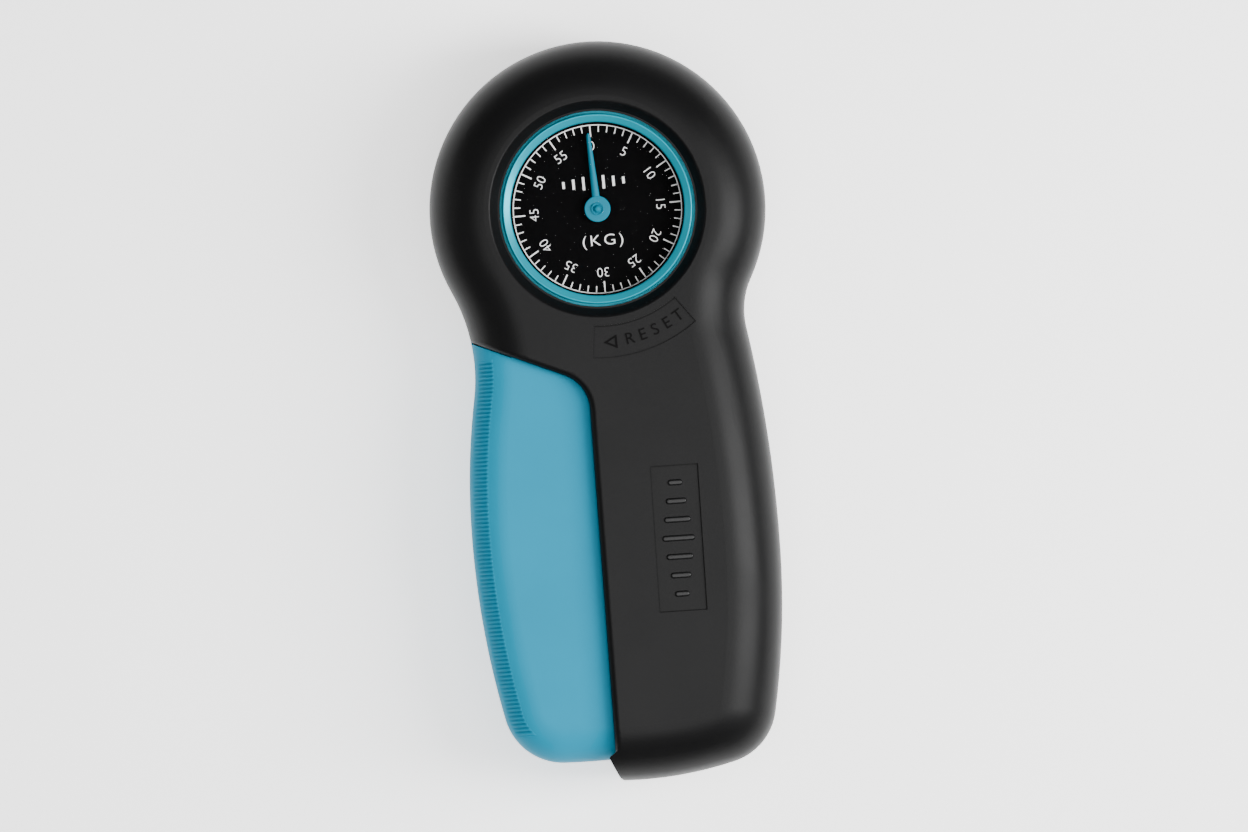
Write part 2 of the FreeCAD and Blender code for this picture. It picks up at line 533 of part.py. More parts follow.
def make_handle_seats():
    """Flanged steel cups on the lever's edge that carry the springs' left ends."""
    seats = []
    for y in SPRING_YS:
        cup = lying(y, SEAT_R, SEAT_HANDLE_X - 2.0, SEAT_HANDLE_X)
        cup = cup.fuse(lying(y, SEAT_CORE_R, SEAT_HANDLE_X, SEAT_HANDLE_X + SEAT_CORE_LENGTH))
        block_at = Vec(SEAT_HANDLE_X - 6.6, y - CUP_BLOCK.y / 2, PARTING - CUP_BLOCK.z / 2)
        block = Part.makeBox(CUP_BLOCK.x, CUP_BLOCK.y, CUP_BLOCK.z, block_at)
        notch_at = Vec(SEAT_HANDLE_X - 6.65, y - CUP_NOTCH.y / 2, ARM_Z)
        notch = Part.makeBox(CUP_NOTCH.x, CUP_NOTCH.y, CUP_NOTCH.z, notch_at)
        seats.append(cup.fuse(block).cut(notch).removeSplitter())
    return Part.makeCompound(seats)


# ---- springs ----
def make_body_seats():
    """Steel plates against the palm wall, each with a boss inside its spring."""
    seats = []
    for y in SPRING_YS:
        flange = lying(y, SEAT_R, SEAT_BODY_X, SEAT_BODY_X + SEAT_THICK)
        seats.append(flange.fuse(lying(y, SEAT_CORE_R, SEAT_BODY_X - SEAT_CORE_LENGTH, SEAT_BODY_X)))
    return Part.makeCompound(seats)


def seat_blocks(solid):
    """Moulded block between the palm wall and each spring seat, kept within the body."""
    wide = SEAT_BLOCK_WIDE
    corners = [Vec(SEAT_BODY_X + SEAT_THICK, y - wide / 2, PARTING - wide / 2) for y in SPRING_YS]
    return [Part.makeBox(3.2, wide, wide, c).common(solid) for c in corners]


def coil_spring(y):
    """Round-wire compression spring along X between its two seats."""
    length = SEAT_BODY_X - SEAT_HANDLE_X - SPRING_WIRE - 0.1
    helix = Part.makeHelix(length / SPRING_TURNS, length, SPRING_R)
    start = Part.Circle(Vec(SPRING_R, 0, 0), Vec(0, 1, 0), SPRING_WIRE / 2).toShape()
    coil = Part.Wire(helix.Edges).makePipeShell([Part.Wire(start)], True, True)
    coil.rotate(Vec(0, 0, 0), Vec(0, 1, 0), 90)
    coil.translate(Vec(SEAT_HANDLE_X + SPRING_WIRE / 2 + 0.05, y, PARTING))
    return coil


def make_stop_pad():
    """Rubber pad on the rear shell's post, just clear of the lever's edge at full squeeze."""
    return Part.makeBox(STOP_PAD, 5.0, 6.0, Vec(STOP_FACE_X, STOP_Y - 2.5, 14.0))


# ---- movement ----
def make_movement_plate(z):
    """Brass plate with the two arbor holes, the pillars' rivet holes and the screw holes."""
    corners = [Vec(-14.0, 12.8), Vec(14.0, 12.8), Vec(14.0, -28.8), Vec(-3.5, -28.8), Vec(-14.0, -18.0)]
    plate = prism(corners, z, z + PLATE_THICK)
    upright = [e for e in plate.Edges if e.BoundBox.ZLength > PLATE_THICK / 2]
    plate = plate.makeFillet(PLATE_CORNER_R, upright)
    plate = plate.cut(disc(Vec(0, 0), PIVOT_HOLE_R + RUNNING, 0, THICKNESS))
    plate = plate.cut(disc(SECTOR_CENTRE, SECTOR_HOLE_R + RUNNING, 0, THICKNESS))
    for p in PILLAR_PLACES:
        plate = plate.cut(disc(p, PILLAR_END_R + 0.02, 0, THICKNESS))
    if z == FRONT_PLATE_Z:
        plate = plate.cut(disc(Vec(0, 0), ARBOR_R + RUNNING, 0, THICKNESS))
        for p in MOVEMENT_SCREW_PLACES:
            plate = plate.cut(disc(p, MOVEMENT_SCREW_R, 0, THICKNESS))
    return plate


def make_pillars():
    """Pillars between the plates, with thinner ends riveted into them."""
    pillars = []
    for p in PILLAR_PLACES:
        post = disc(p, PILLAR_R, REAR_PLATE_Z + PLATE_THICK, FRONT_PLATE_Z)
        pillars.append(post.fuse(disc(p, PILLAR_END_R, REAR_PLATE_Z - 0.3, FRONT_PLATE_Z + PLATE_THICK)))
    return Part.makeCompound(pillars)


def make_movement_screws():
    head_z = FRONT_PLATE_Z - 0.8
    return Part.makeCompound([screw(p, head_z, 25.4, 1.7, 0.95, 0.75) for p in MOVEMENT_SCREW_PLACES])


def make_dial_carrier():
    """Moulded ring that holds the dial, keeps the bezel's flange in place and carries the movement."""
    z0 = FRONT_PLATE_Z + PLATE_THICK
    top, wide = CARRIER_TOP_Z - 0.1, 2 * CARRIER_EAR_END_R
    ring = disc(Vec(0, 0), CARRIER_R, z0, top)
    ears = [disc(p, CARRIER_EAR_END_R, CARRIER_EAR_Z, top) for p in carrier_ears()]
    bridges = []
    for a in CARRIER_EAR_ANGLES:
        corner = Vec(CARRIER_EAR_R - 5.0, -wide / 2, CARRIER_EAR_Z)
        bar = Part.makeBox(5.0, wide, top - CARRIER_EAR_Z, corner)
        bar.rotate(Vec(0, 0, 0), UP, a)
        bridges.append(bar)
    carrier = joined([ring] + ears + bridges)
    carrier = carrier.cut(disc(Vec(0, 0), DIAL_R + 0.1, DIAL_Z, THICKNESS))
    carrier = carrier.cut(disc(Vec(0, 0), CARRIER_HOLE_R, 0, THICKNESS))
    for p in carrier_ears():
        carrier = carrier.cut(disc(p, 1.15, 0, THICKNESS))
    for p in MOVEMENT_SCREW_PLACES:
        carrier = carrier.cut(disc(p, 1.0, z0, 25.6))
    for p in PILLAR_PLACES:
        carrier = carrier.cut(disc(p, 1.6, z0, z0 + 0.6))
    return carrier.cut(disc(SECTOR_CENTRE, 1.5, z0, z0 + 0.6))


def make_carrier_screws():
    return Part.makeCompound([screw(p, 24.8, 31.6, 1.9, 1.0, 1.3) for p in carrier_ears()])


def make_dial_plate():
    return tube(Vec(0, 0), DIAL_R, DIAL_HOLE_R, DIAL_Z, DIAL_Z + DIAL_THICK)


def involute(angle):
    return math.tan(angle) - angle


def gear_outline(teeth, shift, first, last, phase, centre=Vec(0, 0)):
    """Points along teeth first to last, anticlockwise, with tooth 0 centred on the phase angle."""
    pressure = math.radians(20)
    pitch_r = GEAR_MODULE * teeth / 2
    base_r = pitch_r * math.cos(pressure)
    tip_r = pitch_r + (0.9 + shift) * GEAR_MODULE
    root_r = pitch_r - (1.25 - shift) * GEAR_MODULE
    half_at_pitch = (math.pi / 2 + 2 * shift * math.tan(pressure)) / teeth
    half_at_pitch -= GEAR_BACKLASH / (4 * pitch_r)

    def half_width(radius):
        roll = math.acos(min(1.0, base_r / max(radius, base_r)))
        return half_at_pitch + involute(pressure) - involute(roll)

    low_r = max(root_r, base_r)
    levels = [root_r] + [low_r + (tip_r - low_r) * k / 4 for k in range(5)]
    points = []
    for tooth in range(first, last + 1):
        middle = math.radians(phase) + tooth * 2 * math.pi / teeth
        for r in levels:
            points.append(polar(r, math.degrees(middle - half_width(r)), centre))
        for r in reversed(levels):
            points.append(polar(r, math.degrees(middle + half_width(r)), centre))
    kept = [points[0]]
    for p in points[1:]:
        if (p - kept[-1]).Length > 1e-4:
            kept.append(p)
    return kept


def make_pinion():
    """Twelve-tooth pinion on the pointer's arbor.  A gap faces the sector at rest."""
    half_pitch = 180 / PINION_TEETH
    points = gear_outline(PINION_TEETH, GEAR_SHIFT, 0, PINION_TEETH - 1, -90 + half_pitch)
    z0, z1 = SECTOR_Z - 0.5, SECTOR_Z + SECTOR_THICK + 0.5
    return prism(points, z0, z1).cut(disc(Vec(0, 0), ARBOR_R, z0, z1))


def drive_pin_place():
    """Where the drive pin stands at rest: the arm and the sector's tail are in line at half travel."""
    line = SECTOR_CENTRE - PIVOT
    straight = math.degrees(math.atan2(line.y, line.x))
    arm = line.Length * ARM_TO_SLOT / (ARM_TO_SLOT - 1)
    return polar(arm, straight - SQUEEZE_DEG / 2, PIVOT)


def sector_swing():
    """The sector's turn, in degrees, for the handle's full travel."""
    tail = drive_pin_place() - SECTOR_CENTRE
    line = SECTOR_CENTRE - PIVOT
    half = math.atan2(line.y, line.x) - math.atan2(tail.y, tail.x)
    return 2 * math.degrees(half)


def make_sector_gear(drive_point):
    """Toothed sector with a hub, a web, and a slotted tail round the drive pin."""
    swing = sector_swing()
    tooth_deg = 360 / SECTOR_TEETH_FULL
    behind = int(swing / tooth_deg) + 3
    teeth = gear_outline(SECTOR_TEETH_FULL, -GEAR_SHIFT, -behind, 2, 90, SECTOR_CENTRE)
    z0, z1 = SECTOR_Z, SECTOR_Z + SECTOR_THICK
    gear = prism([SECTOR_CENTRE] + teeth, z0, z1)
    tail_line = drive_point - SECTOR_CENTRE
    reach = tail_line.Length
    tail_deg = math.degrees(math.atan2(tail_line.y, tail_line.x))
    tail_tip = polar(reach + 0.6, tail_deg, SECTOR_CENTRE)
    side = polar(2.3, tail_deg + 90)
    tail = prism([SECTOR_CENTRE + side, SECTOR_CENTRE - side, tail_tip - side, tail_tip + side], z0, z1)
    gear = joined([gear, disc(SECTOR_CENTRE, 3.2, z0, z1), tail, disc(tail_tip, 2.3, z0, z1)])
    centre_deg = 90 - swing / 2
    window = tube(SECTOR_CENTRE, 15.8, 8.0, z0, z1)
    spread = swing / 2 - 5
    wedge = [SECTOR_CENTRE] + [polar(24, centre_deg + s, SECTOR_CENTRE) for s in (-spread, spread)]
    gear = gear.cut(window.common(prism(wedge, z0, z1)))
    slot_r = DRIVE_PIN_R + SLOT_CLEARANCE
    ends = [polar(reach - 0.45, tail_deg, SECTOR_CENTRE), polar(reach + 0.25, tail_deg, SECTOR_CENTRE)]
    across = polar(slot_r, tail_deg + 90)
    slot = prism([ends[0] + across, ends[0] - across, ends[1] - across, ends[1] + across], z0, z1)
    for cut in (slot, disc(ends[0], slot_r, z0, z1), disc(ends[1], slot_r, z0, z1)):
        gear = gear.cut(cut)
    return gear.cut(disc(SECTOR_CENTRE, SECTOR_ARBOR_R, z0, z1))


def make_sector_arbor():
    """Stepped steel shaft that the sector is riveted on."""
    low, high = REAR_PLATE_Z, FRONT_PLATE_Z + PLATE_THICK
    body = disc(SECTOR_CENTRE, SECTOR_ARBOR_R, low + PLATE_THICK + 0.1, high - PLATE_THICK - 0.1)
    collar = disc(SECTOR_CENTRE, 2.2, SECTOR_Z - 0.6, SECTOR_Z)
    return joined([body, collar, disc(SECTOR_CENTRE, SECTOR_HOLE_R, low - 0.2, high + 0.2)])


def make_pointer_arbor():
    """Steel shaft up the middle: a thin pivot in the rear plate, and the pointer's seat at the top."""
    step = REAR_PLATE_Z + PLATE_THICK + 0.1
    pivot = disc(Vec(0, 0), PIVOT_HOLE_R, REAR_PLATE_Z - 0.2, step)
    return joined([pivot, disc(Vec(0, 0), ARBOR_R, step, POINTER_Z + POINTER_THICK)])


def make_hold_washer():
    """Sprung friction washer with a boss, that keeps the pointer where the squeeze left it."""
    return tube(Vec(0, 0), 3.4, ARBOR_R, FRONT_PLATE_Z - 0.9, FRONT_PLATE_Z - 0.1)


def make_ratchet_wheel():
    """Thirty-tooth click wheel under the pinion: it lets the pointer run on clockwise, and never back."""
    points = []
    for i in range(WHEEL_TEETH):
        points.append(polar(WHEEL_TIP_R, 360 / WHEEL_TEETH * i))
        points.append(polar(WHEEL_ROOT_R, 360 / WHEEL_TEETH * (i + 0.12)))
    boss = disc(Vec(0, 0), 2.0, WHEEL_TOP_Z, SECTOR_Z - 0.55)
    wheel = prism(points, WHEEL_Z, WHEEL_TOP_Z).fuse(boss)
    return wheel.cut(disc(Vec(0, 0), ARBOR_R, 0, THICKNESS)).removeSplitter()


def make_ratchet_pawl():
    """Post on the rear plate with a thin leaf that rests beside the click wheel's teeth."""
    foot = Vec(7.6, -5.0)
    post = disc(foot, 1.0, REAR_PLATE_Z + PLATE_THICK, WHEEL_TOP_Z)
    touch = Vec(4.85, 0.6)
    side = polar(0.15, math.degrees(math.atan2(touch.y - foot.y, touch.x - foot.x)) + 90)
    leaf = prism([foot - side, foot + side, touch + side, touch - side], WHEEL_Z + 0.1, WHEEL_TOP_Z - 0.1)
    return post.fuse(leaf).removeSplitter()


def make_hairspring():
    """Flat spiral that takes up the gears' slack: an Archimedean band from its collet out to its stud."""
    r_in, r_out, turns, half, steps = 2.4, 6.6, 4.0, 0.09, 24
    count = int(turns * steps)
    inner, outer = [], []
    for i in range(count + 1):
        r = r_in + (r_out - r_in) * i / count
        angle = 360 / steps * i
        inner.append(at(polar(r - half, angle), SPIRAL_Z))
        outer.append(at(polar(r + half, angle), SPIRAL_Z))
    curves = []
    for line in (inner, outer):
        spline = Part.BSplineCurve()
        spline.interpolate(line)
        curves.append(spline.toShape())
    ends = [Part.makeLine(inner[0], outer[0]), Part.makeLine(inner[-1], outer[-1])]
    wire = Part.Wire(Part.__sortEdges__([curves[0], ends[1], curves[1], ends[0]]))
    return Part.Face(wire).extrude(UP * SPIRAL_HEIGHT)


def make_hairspring_collet():
    return tube(Vec(0, 0), 2.25, ARBOR_R, SPIRAL_Z - 0.3, SPIRAL_Z + SPIRAL_HEIGHT + 0.4)


def make_hairspring_stud():
    """Square post on the rear plate that grips the spiral's outer end."""
    return Part.makeBox(1.6, 1.8, 2.9, Vec(6.75, -0.9, REAR_PLATE_Z + PLATE_THICK))


def make_pointer():
    """Tapered pointer with a round hub, turned to its place of rest."""
    z0, z1 = POINTER_Z, POINTER_Z + POINTER_THICK
    root, tip = POINTER_ROOT_HALF, POINTER_TIP_R
    corners = [Vec(-root, 1.5), Vec(root, 1.5), Vec(tip, POINTER_REACH), Vec(-tip, POINTER_REACH)]
    blade = prism(corners, z0, z1)
    end = disc(Vec(0, POINTER_REACH), tip, z0, z1)
    hub = disc(Vec(0, 0), POINTER_HUB_R, z0, z1)
    pointer = joined([blade, end, hub]).cut(disc(Vec(0, 0), ARBOR_R, z0, z1))
    pointer.rotate(Vec(0, 0, 0), UP, POINTER_REST_DEG - 90)
    return pointer


def make_pointer_cap():
    cap = disc(Vec(0, 0), 1.25, POINTER_Z + POINTER_THICK, POINTER_Z + POINTER_THICK + 0.9)
    top = [e for e in cap.Edges if abs(e.BoundBox.ZMin - cap.BoundBox.ZMax) < 1e-6]
    return cap.makeFillet(0.35, top)


# ---- bezel ----
def make_bezel_ring():
    """Turning ring: a flange under the collar, a rim that slopes inwards, and a lip over the lens."""
    lens_top = LENS_Z + LENS_THICK + 0.02
    seat_r = LENS_R + 0.05
    foot = [(seat_r, BEZEL_LOW_Z), (BEZEL_FLANGE_R, BEZEL_LOW_Z), (BEZEL_FLANGE_R, BEZEL_FLANGE_Z)]
    rim = [(BEZEL_R, BEZEL_FLANGE_Z), (BEZEL_R, BEZEL_TOP_Z - 0.3), (BEZEL_R - 0.3, BEZEL_TOP_Z),
           (BEZEL_INNER_R + 0.1, BEZEL_TOP_Z - BEZEL_FALL), (BEZEL_INNER_R, BEZEL_TOP_Z - BEZEL_FALL - 0.2)]
    return turned(foot + rim + [(BEZEL_INNER_R, lens_top), (seat_r, lens_top)])


def make_lens():
    """Clear disc with the peg that pushes the pointer back to zero."""
    lens = disc(Vec(0, 0), LENS_R, LENS_Z, LENS_Z + LENS_THICK)
    peg = disc(polar(14.6, POINTER_REST_DEG + PEG_LAG_DEG), PEG_R, POINTER_Z + 0.1, LENS_Z)
    return lens.fuse(peg).removeSplitter()


def make_lens_ring():
    return tube(Vec(0, 0), LENS_R, BEZEL_INNER_R + 0.2, BEZEL_LOW_Z + 0.05, LENS_Z)


# ---- write every piece ----
def all_parts():
    blank, solid = shell_blank()
    drive_point = drive_pin_place()
    strip = rib_strip_band(RIB_STRIP_DEPTH)
    front_cover, rear_cover = make_grip_covers(strip)
    blocks = seat_blocks(solid)
    rear_half, front_half = half_space(0, PARTING), half_space(PARTING, THICKNESS)
    rear_shell = joined([make_rear_shell(blank, solid)] + [b.common(rear_half) for b in blocks])
    front_shell = joined([make_front_shell(blank, solid)] + [b.common(front_half) for b in blocks])
    return {
        "front_shell": front_shell,
        "rear_shell": rear_shell,
        "shell_screws": make_shell_screws(),
        "dial_carrier": make_dial_carrier(),
        "carrier_screws": make_carrier_screws(),
        "dial_plate": make_dial_plate(),
        "movement_front_plate": make_movement_plate(FRONT_PLATE_Z),
        "movement_rear_plate": make_movement_plate(REAR_PLATE_Z),
        "movement_pillars": make_pillars(),
        "movement_screws": make_movement_screws(),
        "pivot_pin": disc(PIVOT, PIN_R, PIN_LOW_Z, PIN_HIGH_Z),
        "pivot_washers": make_pivot_washers(),
        "pivot_spacer": make_pivot_spacer(),
        "body_spring_seats": make_body_seats(),
        "stop_pad": make_stop_pad(),
        "upper_load_spring": coil_spring(SPRING_YS[0]),
        "lower_load_spring": coil_spring(SPRING_YS[1]),
        "hairspring": make_hairspring(),
        "hairspring_stud": make_hairspring_stud(),
        "grip_front_cover": front_cover,
        "grip_rear_cover": rear_cover,
        "finger_rib_strip": strip,
        "grip_screws": make_grip_screws(),
        "lever_frame": make_lever_frame(drive_point),
        "pivot_bush": make_pivot_bush(),
        "drive_pin": disc(drive_point, DRIVE_PIN_R, ARM_Z, SECTOR_Z + SECTOR_THICK + 0.4),
        "handle_spring_seats": make_handle_seats(),
        "sector_gear": make_sector_gear(drive_point),
        "sector_arbor": make_sector_arbor(),
        "centre_pinion": make_pinion(),
        "pointer_arbor": make_pointer_arbor(),
        "ratchet_wheel": make_ratchet_wheel(),
        "ratchet_pawl": make_ratchet_pawl(),
        "hold_washer": make_hold_washer(),
        "hairspring_collet": make_hairspring_collet(),
        "pointer": make_pointer(),
        "pointer_cap": make_pointer_cap(),
        "bezel_ring": make_bezel_ring(),
        "lens": make_lens(),
        "lens_retaining_ring": make_lens_ring(),
    }


def main():
    os.makedirs("parts", exist_ok=True)
    for name, shape in all_parts().items():
        print(f"{name:22s} valid {shape.isValid()} solids {len(shape.Solids)} volume {shape.Volume:9.1f}")
        shape.exportStep(f"parts/{name}.step")
    swing = sector_swing() / SQUEEZE_DEG
    teeth_ratio = SECTOR_TEETH_FULL / PINION_TEETH
    print(f"sector turns {swing:.4f} and pointer {swing * teeth_ratio:.4f} for each turn of the handle")


main()
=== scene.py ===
"""Finish and lighting of the hand dynamometer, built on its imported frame.  Everything is in metres."""

import math

import bpy
import numpy as np
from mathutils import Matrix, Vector


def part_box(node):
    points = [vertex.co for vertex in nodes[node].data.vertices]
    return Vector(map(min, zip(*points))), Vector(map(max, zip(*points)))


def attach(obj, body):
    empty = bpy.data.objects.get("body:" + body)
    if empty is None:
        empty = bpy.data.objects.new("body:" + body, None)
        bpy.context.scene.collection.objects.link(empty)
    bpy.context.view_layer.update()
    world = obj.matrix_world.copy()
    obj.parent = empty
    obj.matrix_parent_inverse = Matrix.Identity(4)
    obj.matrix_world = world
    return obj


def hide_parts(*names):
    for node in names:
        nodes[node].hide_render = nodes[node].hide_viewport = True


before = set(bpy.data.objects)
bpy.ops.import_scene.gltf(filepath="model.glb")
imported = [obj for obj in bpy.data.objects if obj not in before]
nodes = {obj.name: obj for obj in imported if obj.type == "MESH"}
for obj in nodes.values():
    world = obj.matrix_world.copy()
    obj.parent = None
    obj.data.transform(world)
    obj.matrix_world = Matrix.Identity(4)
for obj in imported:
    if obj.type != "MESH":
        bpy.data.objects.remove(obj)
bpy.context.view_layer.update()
MM = 0.001
TURN = 2 * np.pi


# ---- meshes ----

def grid_faces(rows, columns, wrap_rows=False, wrap_columns=False):
    """Quads between neighbouring points of a grid; a wrapped side joins its last line to its first."""
    r = np.arange(rows if wrap_rows else rows - 1)[:, None]
    c = np.arange(columns if wrap_columns else columns - 1)[None, :]
    r2, c2 = (r + 1) % rows, (c + 1) % columns
    corners = (r * columns + c, r * columns + c2, r2 * columns + c2, r2 * columns + c)
    return np.stack(np.broadcast_arrays(*corners), -1).reshape(-1, 4)


def piece(name, points, faces, body, finish, replaces=(), smooth=True):
    """Puts a piece's points (in mm) and faces into a mesh, and gives it its body and material, hiding the
    solids it replaces.
    """
    mesh = bpy.data.meshes.new(name)
    mesh.from_pydata((np.asarray(points, float).reshape(-1, 3) * MM).tolist(), [], [list(f) for f in faces])
    mesh.polygons.foreach_set("use_smooth", np.full(len(mesh.polygons), smooth))
    mesh.materials.append(finish)
    mesh.validate()
    made = bpy.data.objects.new(name, mesh)
    bpy.context.scene.collection.objects.link(made)
    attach(made, body)
    if replaces:
        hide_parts(*replaces)
    return made


def turned_points(radii, heights, count):
    """A profile carried round the dial's axis: x = r cos a, y = r sin a, z = height; rows are angles."""
    a = np.arange(count)[:, None] * TURN / count
    r, z = np.asarray(radii)[None, :], np.asarray(heights)[None, :]
    return np.stack(np.broadcast_arrays(r * np.cos(a), r * np.sin(a), z + 0 * a), -1)


def ring_of_profile(radii, heights, count=180):
    """A closed profile, anticlockwise in (r, z), turned into a ring; its faces look outwards."""
    points = turned_points(radii, heights, count)
    return points, grid_faces(count, len(radii), wrap_rows=True, wrap_columns=True)


def rounded_profile(corners, radius, steps=6):
    """A polygon in (r, z) with each corner replaced by a quadratic curve that starts a radius before it."""
    p = np.asarray(corners, float)
    back, ahead = np.roll(p, 1, 0) - p, np.roll(p, -1, 0) - p
    reach = np.broadcast_to(np.asarray(radius, float), len(p))[:, None]
    start = p + back / np.linalg.norm(back, axis=1)[:, None] * reach
    end = p + ahead / np.linalg.norm(ahead, axis=1)[:, None] * reach
    t = np.linspace(0, 1, steps)[None, :, None]
    curve = (1 - t) ** 2 * start[:, None] + 2 * t * (1 - t) * p[:, None] + t ** 2 * end[:, None]
    return curve.reshape(-1, 2)


def blocks(centres, angles, lengths, widths, low, high):
    """Flat bars of eight corners: each has a centre, a direction, a length along it and a width across it."""
    centres, angles = np.asarray(centres, float), np.asarray(angles, float)
    along = np.stack([np.cos(angles), np.sin(angles)], -1) * (np.asarray(lengths) / 2)[:, None]
    across = np.stack([-np.sin(angles), np.cos(angles)], -1) * (np.asarray(widths) / 2)[:, None]
    flat = np.stack([centres - along - across, centres + along - across,
                     centres + along + across, centres - along + across], 1)
    count = len(centres)
    bottom = np.concatenate([flat, np.full((count, 4, 1), low)], -1)
    top = np.concatenate([flat, np.full((count, 4, 1), high)], -1)
    points = np.concatenate([bottom, top], 1)
    base, lid = [3, 2, 1, 0], [4, 5, 6, 7]
    sides = [[0, 1, 5, 4], [1, 2, 6, 5], [2, 3, 7, 6], [3, 0, 4, 7]]
    box = np.array([base, lid] + sides)
    corners_each = len(base) + len(lid)
    faces = box[None] + corners_each * np.arange(count)[:, None, None]
    return points.reshape(-1, 3), faces.reshape(-1, 4)


def arc_band(inner, outer, start, stop, low, high, steps=48):
    """Part of a flat ring between two radii and two directions in degrees, with its two ends closed.

    Each row is a rectangle in (r, z): x = r cos a and y = r sin a.
    """
    a = np.radians(np.linspace(start, stop, steps))[:, None]
    r, z = np.array([[inner, outer, outer, inner]]), np.array([[low, low, high, high]])
    points = np.stack([r * np.cos(a), r * np.sin(a), z + 0 * a], -1).reshape(-1, 3)
    faces = grid_faces(steps, 4, wrap_columns=True).tolist()
    last = 4 * steps - 1
    faces += [[0, 1, 2, 3], [last, last - 1, last - 2, last - 3]]
    return points, faces


def joined(parts):
    """Several pairs of points and faces as one pair."""
    points, faces, start = [], [], 0
    for part_points, part_faces in parts:
        points.append(np.asarray(part_points).reshape(-1, 3))
        faces += [[start + v for v in face] for face in part_faces]
        start += len(points[-1])
    return np.concatenate(points), faces


def letters(words, size, places, low, high, thinner=0.04, widen=1.0, spacing=1.0):
    """Generic lettering: each word is set in the plain built-in face, made a mesh, then put in place.

    Places hold the centre x and y and the direction the words read in.
    """
    parts = []
    for word, (x, y, angle) in zip(words, places):
        curve = bpy.data.curves.new("lettering", "FONT")
        curve.body = word
        curve.size = size
        curve.align_x, curve.align_y = "CENTER", "CENTER"
        curve.extrude = (high - low) / 2
        curve.offset = -thinner
        curve.space_character = spacing
        curve.resolution_u = 4
        text = bpy.data.objects.new("lettering", curve)
        bpy.context.scene.collection.objects.link(text)
        bpy.context.view_layer.update()
        mesh = bpy.data.meshes.new_from_object(text)
        co = np.zeros(len(mesh.vertices) * 3)
        mesh.vertices.foreach_get("co", co)
        co = co.reshape(-1, 3) * (widen, 1, 1)
        c, s = math.cos(angle), math.sin(angle)
        put = np.stack([x + c * co[:, 0] - s * co[:, 1], y + s * co[:, 0] + c * co[:, 1],
                        co[:, 2] + (low + high) / 2], -1)
        parts.append((put, [list(face.vertices) for face in mesh.polygons]))
        bpy.data.objects.remove(text)
        bpy.data.curves.remove(curve)
        bpy.data.meshes.remove(mesh)
    return joined(parts)


# ---- finishes ----

def finish_base(name, colour, roughness, metallic=0.0, specular=0.5):
    """A new material with its shader, and the piece's own coordinates for its patterns."""
    made = bpy.data.materials.new(name)
    made.use_nodes = True
    tree = made.node_tree
    shader = tree.nodes["Principled BSDF"]
    shader.inputs["Base Color"].default_value = (*colour, 1)
    shader.inputs["Roughness"].default_value = roughness
    shader.inputs["Metallic"].default_value = metallic
    shader.inputs["Specular IOR Level"].default_value = specular
    where = tree.nodes.new("ShaderNodeTexCoord")
    return made, tree, shader, where.outputs["Object"]


def noise_in(tree, where, size, detail=3.0, stretch=None):
    """Noise with features of a size in mm, squeezed along the axes if three factors are given."""
    noise = tree.nodes.new("ShaderNodeTexNoise")
    noise.inputs["Scale"].default_value = 1 / (size * MM)
    noise.inputs["Detail"].default_value = detail
    if stretch:
        mapping = tree.nodes.new("ShaderNodeMapping")
        mapping.inputs["Scale"].default_value = stretch
        tree.links.new(where, mapping.inputs["Vector"])
        where = mapping.outputs["Vector"]
    tree.links.new(where, noise.inputs["Vector"])
    return noise.outputs["Fac"]


def ramp_between(tree, factor, low, high, start=0.3, end=0.7):
    """Colours from low to high as the factor goes from start to end."""
    ramp = tree.nodes.new("ShaderNodeValToRGB")
    first, last = ramp.color_ramp.elements
    first.position, last.position = start, end
    first.color, last.color = (*low, 1), (*high, 1)
    tree.links.new(factor, ramp.inputs["Fac"])
    return ramp.outputs["Color"]


def rough_between(tree, factor, low, high):
    """Roughness from low to high as the factor goes over a noise's usual range."""
    spread = tree.nodes.new("ShaderNodeMapRange")
    limits = {"From Min": 0.3, "From Max": 0.7, "To Min": low, "To Max": high}
    for socket, value in limits.items():
        spread.inputs[socket].default_value = value
    tree.links.new(factor, spread.inputs["Value"])
    return spread.outputs["Result"]


def bump_from(tree, height, depth, strength=1.0):
    """Small relief, with its depth in mm."""
    bump = tree.nodes.new("ShaderNodeBump")
    bump.inputs["Distance"].default_value = depth * MM
    bump.inputs["Strength"].default_value = strength
    tree.links.new(height, bump.inputs["Height"])
    return bump.outputs["Normal"]


def moulded_finish(name, colour, roughness, grain, depth, mottle=0.06, specular=0.5, metallic=0.0):
    """Moulded plastic: a fine eroded grain from the tool, with faint cloudy changes in colour and gloss.

    The grain's size and depth are in mm, and the mottle is the part of the colour that it adds or takes.
    """
    made, tree, shader, where = finish_base(name, colour, roughness, metallic, specular)
    cloud_size, gloss_change = 14.0, 0.03
    cloud = noise_in(tree, where, cloud_size, 4.0)
    grains = noise_in(tree, where, grain, 2.0)
    dark = [c * (1 - mottle) for c in colour]
    light = [min(1.0, c * (1 + mottle)) for c in colour]
    gloss = rough_between(tree, cloud, roughness - gloss_change, roughness + gloss_change)
    tree.links.new(ramp_between(tree, cloud, dark, light), shader.inputs["Base Color"])
    tree.links.new(gloss, shader.inputs["Roughness"])
    tree.links.new(bump_from(tree, grains, depth), shader.inputs["Normal"])
    return made


